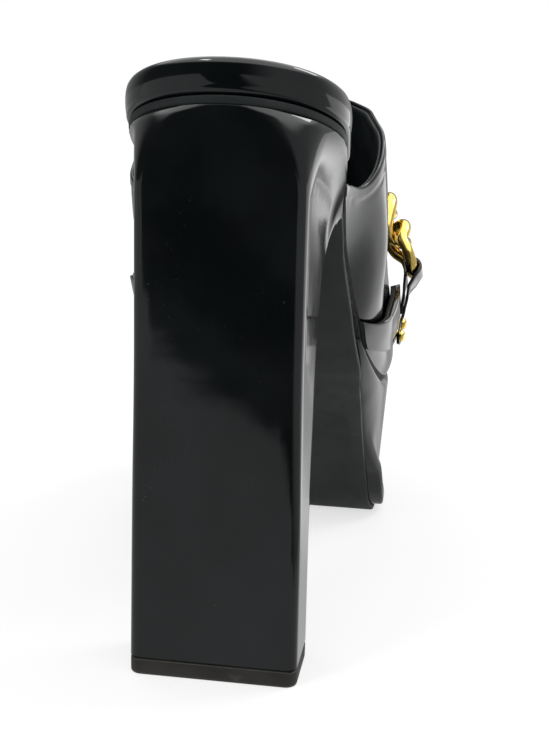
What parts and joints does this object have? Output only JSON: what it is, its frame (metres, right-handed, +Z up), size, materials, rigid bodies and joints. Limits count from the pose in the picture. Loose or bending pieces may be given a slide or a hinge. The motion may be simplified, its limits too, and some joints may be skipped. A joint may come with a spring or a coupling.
{
  "type": "platform mule",
  "caption": "Tall glossy leather mule for the right foot, on a thick platform and a high block heel, with a curb chain laid across the instep.",
  "frame": {"origin": "middle of the bounding box, on the floor", "axes": "+Y along the shoe towards the toe, +X to the outer side of the right foot, +Z up"},
  "size_m": [0.1076, 0.2088, 0.1676],
  "materials": {
    "patent_leather": "high gloss, near black",
    "lining_leather": "satin, black",
    "outsole_rubber": "matt, dark grey",
    "heel_tip_rubber": "matt, dark brownish grey",
    "gold_metal": "polished gold colour"
  },
  "bodies": {
    "root": {"outsole": "outsole_rubber", "platform": "patent_leather", "top_piece": "heel_tip_rubber", "heel": "patent_leather", "footbed": "lining_leather", "upper": "patent_leather", "strap_outer": "patent_leather", "strap_inner": "patent_leather", "chain_link_1": "gold_metal", "chain_link_2": "gold_metal", "chain_link_3": "gold_metal", "chain_link_4": "gold_metal", "chain_link_5": "gold_metal", "chain_link_6": "gold_metal", "chain_link_7": "gold_metal", "chain_link_8": "gold_metal", "chain_link_9": "gold_metal", "chain_link_10": "gold_metal", "tab_outer": "patent_leather", "stud_outer_1": "gold_metal", "stud_outer_2": "gold_metal", "tab_inner": "patent_leather", "stud_inner_1": "gold_metal", "stud_inner_2": "gold_metal"}
  },
  "joints": []
}
